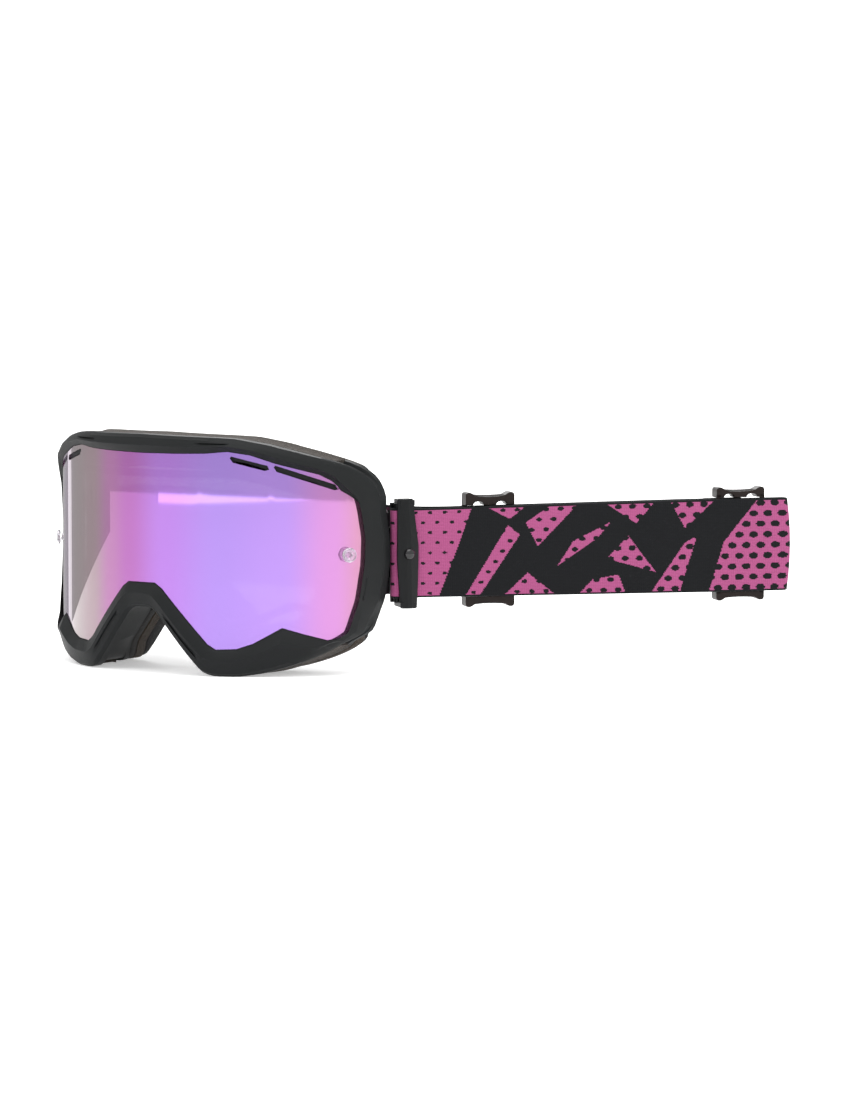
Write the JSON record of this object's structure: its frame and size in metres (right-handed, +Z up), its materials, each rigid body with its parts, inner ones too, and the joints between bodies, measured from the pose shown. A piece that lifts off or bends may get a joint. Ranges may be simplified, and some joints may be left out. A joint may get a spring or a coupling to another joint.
{
  "type": "goggles",
  "caption": "Off-road riding goggles with a cylindrical mirror lens, layered face foam, hinged outriggers and an elastic strap with two sliding adjusters.",
  "frame": {"origin": "middle of the face opening, on the fleece surface that meets the face", "axes": "+Z up, the lens looks along -Y, the wearer's left side is +X"},
  "size_m": [0.3198, 0.2417, 0.115],
  "materials": {
    "frame_plastic": "matte soft-touch moulding",
    "mirror_lens": "pink to violet mirror coating",
    "seal_foam": "closed-cell foam tape",
    "clear_pane": "clear anti-fog pane",
    "clear_plastic": "clear moulded",
    "vent_foam": "open-cell foam",
    "dark_foam": "dense foam",
    "brown_foam": "open-cell foam",
    "fleece": "brushed fleece",
    "outrigger_plastic": "satin moulding",
    "steel_pin": "plain steel",
    "gloss_black": "glossy dome",
    "strap_elastic": "woven elastic, pink with black",
    "adjuster_plastic": "dark moulded",
    "silicone": "silicone print"
  },
  "bodies": {
    "frame": {"frame_shell": "frame_plastic", "lens_outer": "mirror_lens", "lens_spacer": "seal_foam", "lens_inner": "clear_pane", "tear_off_post_left": "clear_plastic", "tear_off_post_right": "clear_plastic", "vent_foam_top": "vent_foam", "vent_foam_bottom_left": "vent_foam", "vent_foam_bottom_right": "vent_foam", "face_foam_base": "dark_foam", "face_foam_middle": "brown_foam", "face_fleece": "fleece", "hinge_pin_left": "steel_pin", "hinge_pin_right": "steel_pin", "strap_front_band": "strap_elastic", "strap_back_band": "strap_elastic", "strap_grip_lines": "silicone"},
    "outrigger_left": {"outrigger_left": "outrigger_plastic", "outrigger_stud_left": "gloss_black", "strap_loop_left": "strap_elastic"},
    "outrigger_right": {"outrigger_right": "outrigger_plastic", "outrigger_stud_right": "gloss_black", "strap_loop_right": "strap_elastic"},
    "adjuster_a": {"adjuster_a": "adjuster_plastic", "strap_end_a": "strap_elastic"},
    "adjuster_b": {"adjuster_b": "adjuster_plastic", "strap_end_b": "strap_elastic"}
  },
  "joints": [
    {"name": "outrigger_left_hinge", "type": "hinge", "parent": "frame", "child": "outrigger_left", "pos_m": [0.088, 0.0342, 0], "axis": [0, 0, 1], "range_deg": [-20, 10]},
    {"name": "outrigger_right_hinge", "type": "hinge", "parent": "frame", "child": "outrigger_right", "pos_m": [-0.088, 0.0342, 0], "axis": [0, 0, -1], "range_deg": [-20, 5]},
    {"name": "adjuster_a_slide", "type": "slide", "parent": "frame", "child": "adjuster_a", "axis": [0.6157, 0.788, 0], "range_m": [-0.004, 0.02]},
    {"name": "adjuster_b_slide", "type": "slide", "parent": "frame", "child": "adjuster_b", "axis": [0.6157, 0.788, 0], "range_m": [-0.015, 0.008]}
  ]
}
